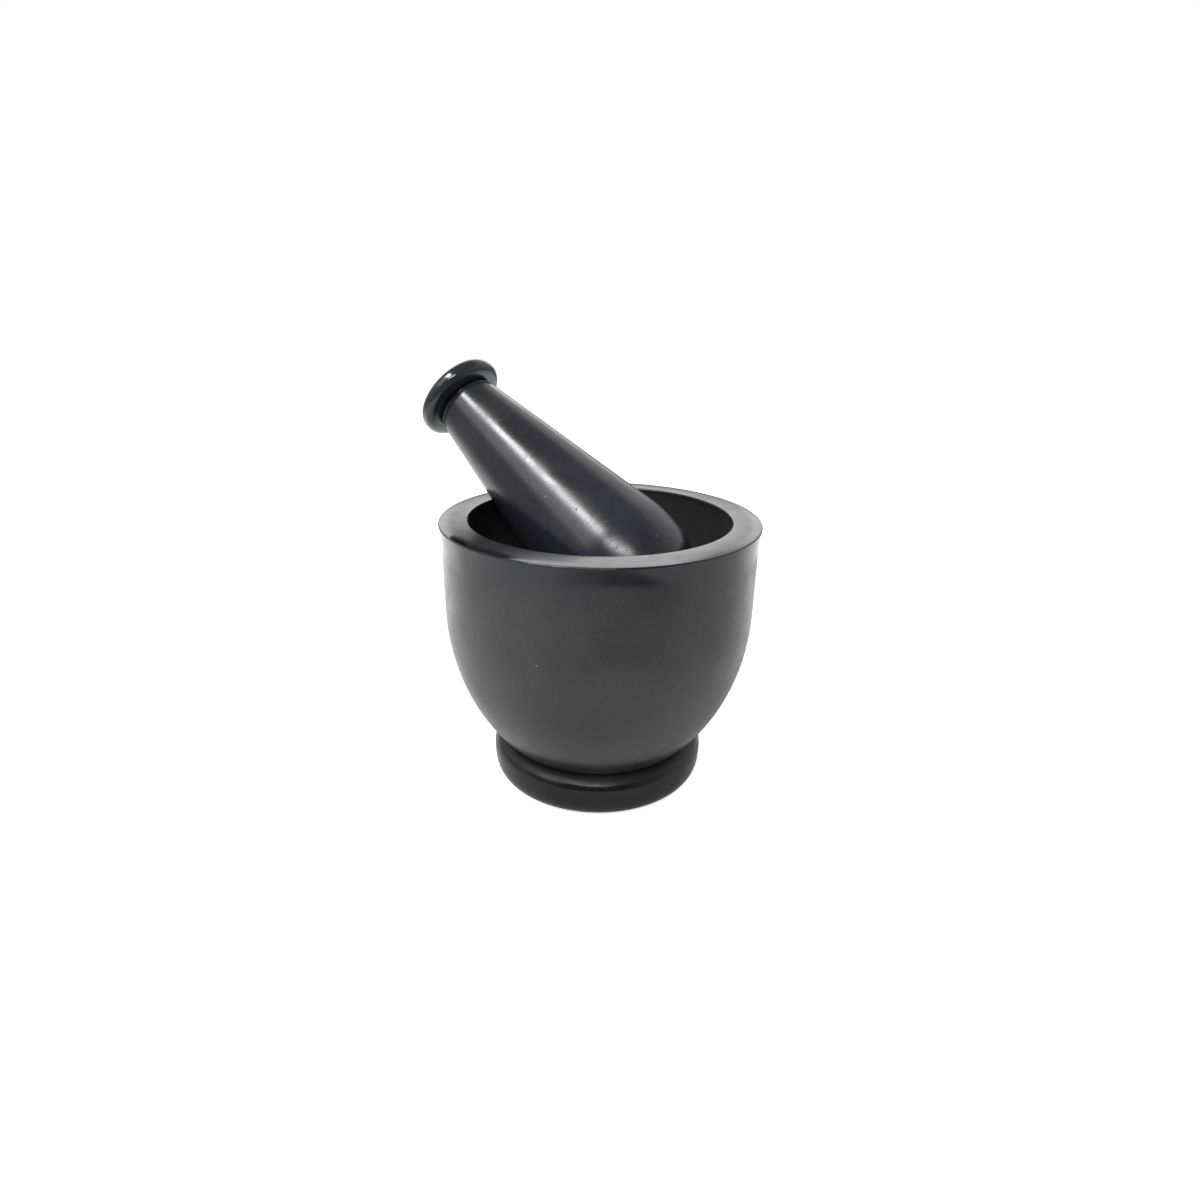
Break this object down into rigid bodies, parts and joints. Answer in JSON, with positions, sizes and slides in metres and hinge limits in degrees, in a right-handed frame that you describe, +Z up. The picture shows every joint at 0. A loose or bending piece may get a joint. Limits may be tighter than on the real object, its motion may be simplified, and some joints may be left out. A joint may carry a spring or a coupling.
{
  "type": "mortar and pestle",
  "caption": "Footed round stone mortar with a thick lipped wall and a hemispherical hollow; a loose tapered pestle with a disc knob leans in it and lifts out.",
  "frame": {"origin": "centre of the foot's flat underside, on the mortar's turning axis", "axes": "+Z up along the mortar's axis; +X to the right and +Y away when the pestle leans towards the back left, so the pestle's knob is at -X, +Y"},
  "size_m": [0.1109, 0.101, 0.1337],
  "materials": {
    "satin_stone": "satin, honed black stone, matt inside the hollow",
    "polished_foot": "polished black stone",
    "satin_shaft": "satin, polished along the shaft, fine cross scratches",
    "polished_knob": "high polish, black stone with a faint green-blue cast"
  },
  "bodies": {
    "mortar": {"mortar_bowl": "satin_stone", "mortar_foot": "polished_foot"},
    "pestle": {"pestle_shaft": "satin_shaft", "pestle_knob": "polished_knob"}
  },
  "joints": [
    {"name": "pestle_lift", "type": "slide", "parent": "mortar", "child": "pestle", "axis": [0, 0, 1], "range_m": [0, 0.07]}
  ]
}
